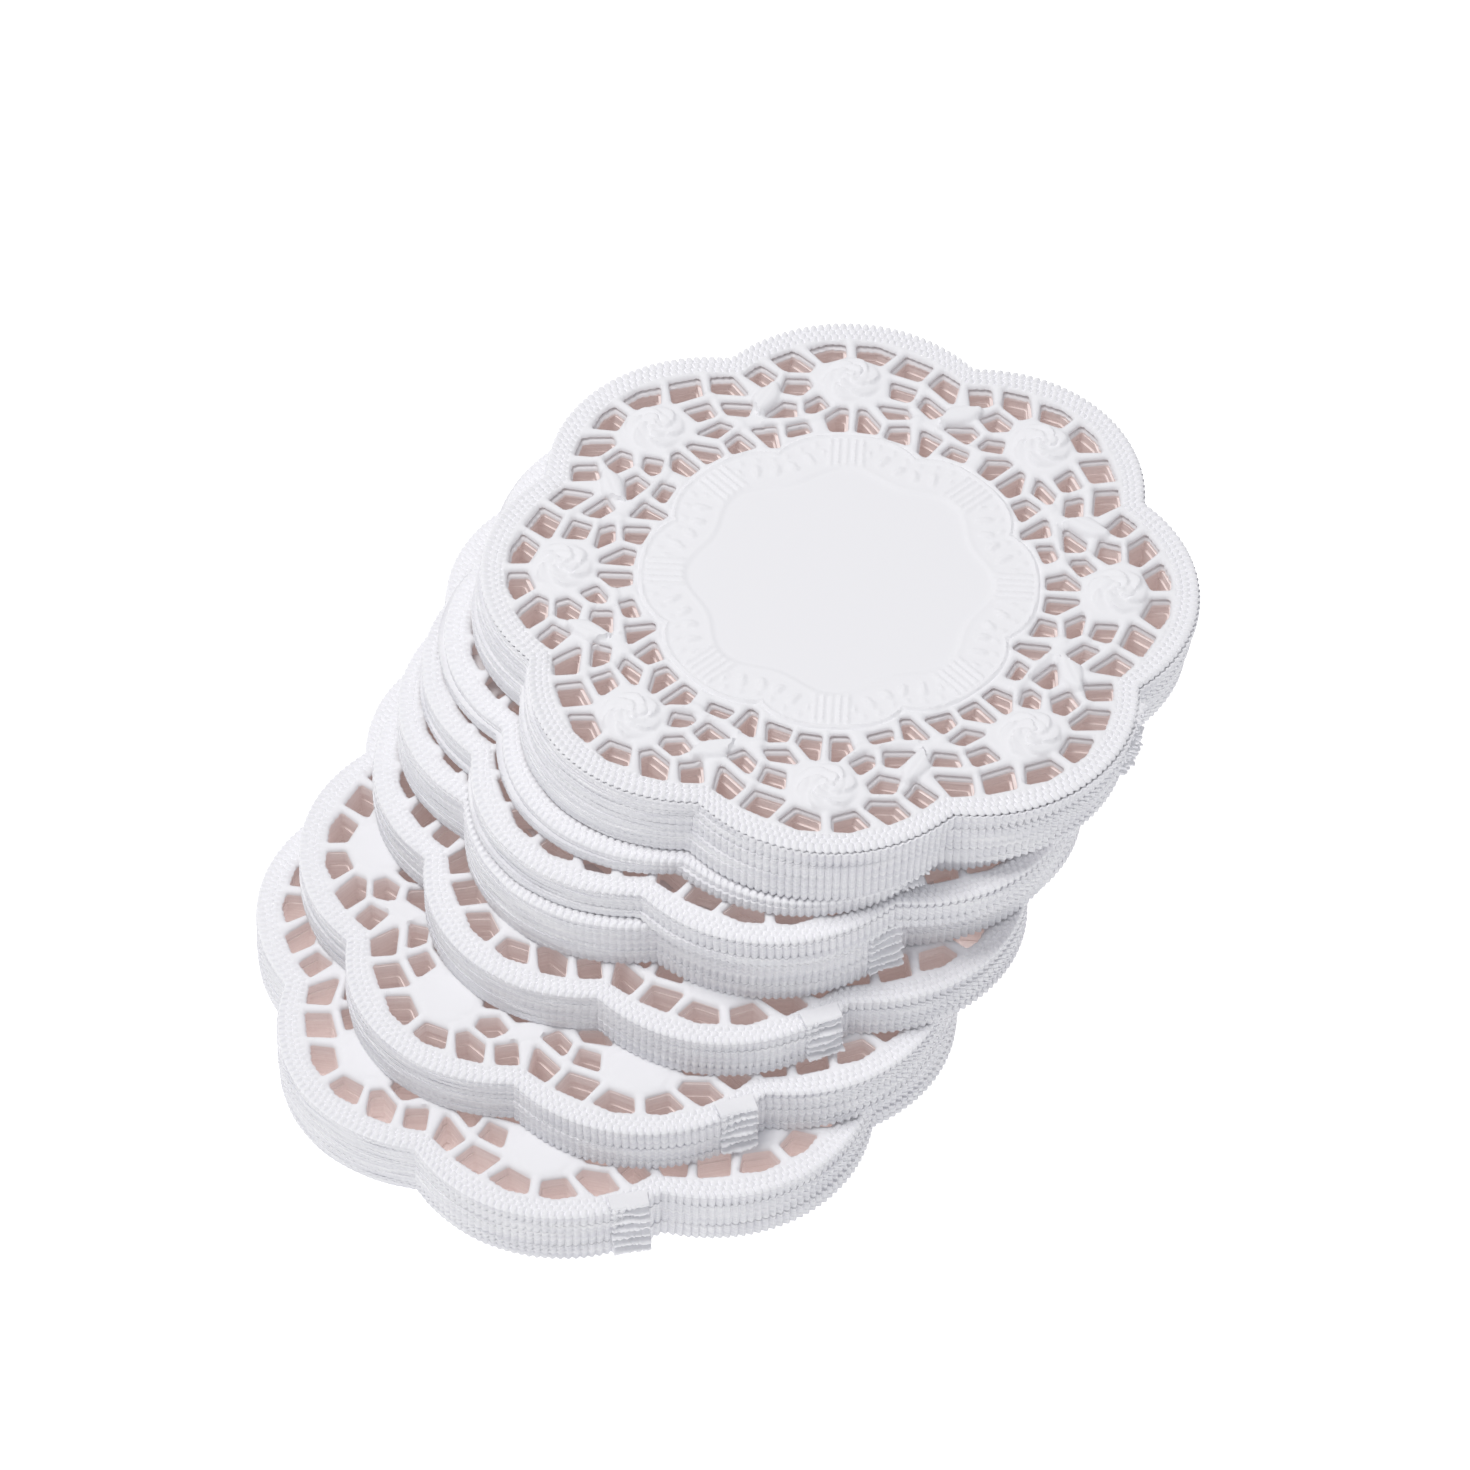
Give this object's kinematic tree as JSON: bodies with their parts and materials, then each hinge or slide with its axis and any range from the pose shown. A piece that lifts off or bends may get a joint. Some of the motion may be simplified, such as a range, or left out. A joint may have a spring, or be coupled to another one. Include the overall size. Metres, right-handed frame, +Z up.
{
  "type": "lace paper doily stack",
  "caption": "Leaning fanned stack of round scalloped lace paper doilies, in slipped blocks with die-cut openings, rose motifs and a plain centre.",
  "frame": {"origin": "centre of the lowest doily, on the surface that the stack stands on", "axes": "+Z up through the stack, +X to the right and +Y to the back; the stack is fanned towards +X and +Y"},
  "size_m": [0.1341, 0.1327, 0.0529],
  "materials": {
    "lace_paper": "matt embossed",
    "top_lace_paper": "matt embossed"
  },
  "bodies": {
    "lowest_block": {"lowest_block_lift_1": "lace_paper", "lowest_block_lift_2": "lace_paper", "lowest_block_lift_3": "lace_paper", "lowest_block_lift_4": "lace_paper", "lowest_block_lift_5": "lace_paper", "lowest_block_lift_6": "lace_paper", "lowest_block_lift_7": "lace_paper"},
    "second_block": {"second_block_lift_1": "lace_paper", "second_block_lift_2": "lace_paper", "second_block_lift_3": "lace_paper", "second_block_lift_4": "lace_paper", "second_block_lift_5": "lace_paper", "second_block_lift_6": "lace_paper"},
    "third_block": {"third_block_lift_1": "lace_paper", "third_block_lift_2": "lace_paper", "third_block_lift_3": "lace_paper", "third_block_lift_4": "lace_paper", "third_block_lift_5": "lace_paper", "third_block_lift_6": "lace_paper"},
    "fourth_block": {"fourth_block_lift_1": "lace_paper", "fourth_block_lift_2": "lace_paper", "fourth_block_lift_3": "lace_paper", "fourth_block_lift_4": "lace_paper", "fourth_block_lift_5": "lace_paper", "fourth_block_lift_6": "lace_paper"},
    "fifth_block": {"fifth_block_lift_1": "lace_paper", "fifth_block_lift_2": "lace_paper", "fifth_block_lift_3": "lace_paper", "fifth_block_lift_4": "lace_paper"},
    "sixth_block": {"sixth_block_lift_1": "lace_paper", "sixth_block_lift_2": "lace_paper"},
    "upper_block": {"upper_block_lift_1": "lace_paper", "upper_block_lift_2": "lace_paper", "upper_block_lift_3": "lace_paper", "upper_block_lift_4": "lace_paper", "upper_block_lift_5": "lace_paper", "upper_block_lift_6": "lace_paper", "upper_block_lift_7": "lace_paper"},
    "top_doily": {"top_doily": "top_lace_paper"}
  },
  "joints": [
    {"name": "second_block_fan", "type": "slide", "parent": "lowest_block", "child": "second_block", "axis": [0.6056, 0.7957, 0], "range_m": [-0.01131, 0.005]},
    {"name": "third_block_fan", "type": "slide", "parent": "second_block", "child": "third_block", "axis": [0.6967, 0.7173, 0], "range_m": [-0.01457, 0.005]},
    {"name": "fourth_block_fan", "type": "slide", "parent": "third_block", "child": "fourth_block", "axis": [0.4096, 0.9123, 0], "range_m": [-0.00806, 0.005]},
    {"name": "fifth_block_fan", "type": "slide", "parent": "fourth_block", "child": "fifth_block", "axis": [0.9744, -0.2249, 0], "range_m": [-0.004, 0.005]},
    {"name": "sixth_block_fan", "type": "slide", "parent": "fifth_block", "child": "sixth_block", "axis": [0.5039, 0.8638, 0], "range_m": [-0.00556, 0.005]},
    {"name": "upper_block_fan", "type": "slide", "parent": "sixth_block", "child": "upper_block", "axis": [0.9993, 0.0377, 0], "range_m": [-0.0053, 0.005]},
    {"name": "top_doily_lift_off", "type": "slide", "parent": "upper_block", "child": "top_doily", "axis": [0, 0, 1], "range_m": [0, 0.04]}
  ]
}
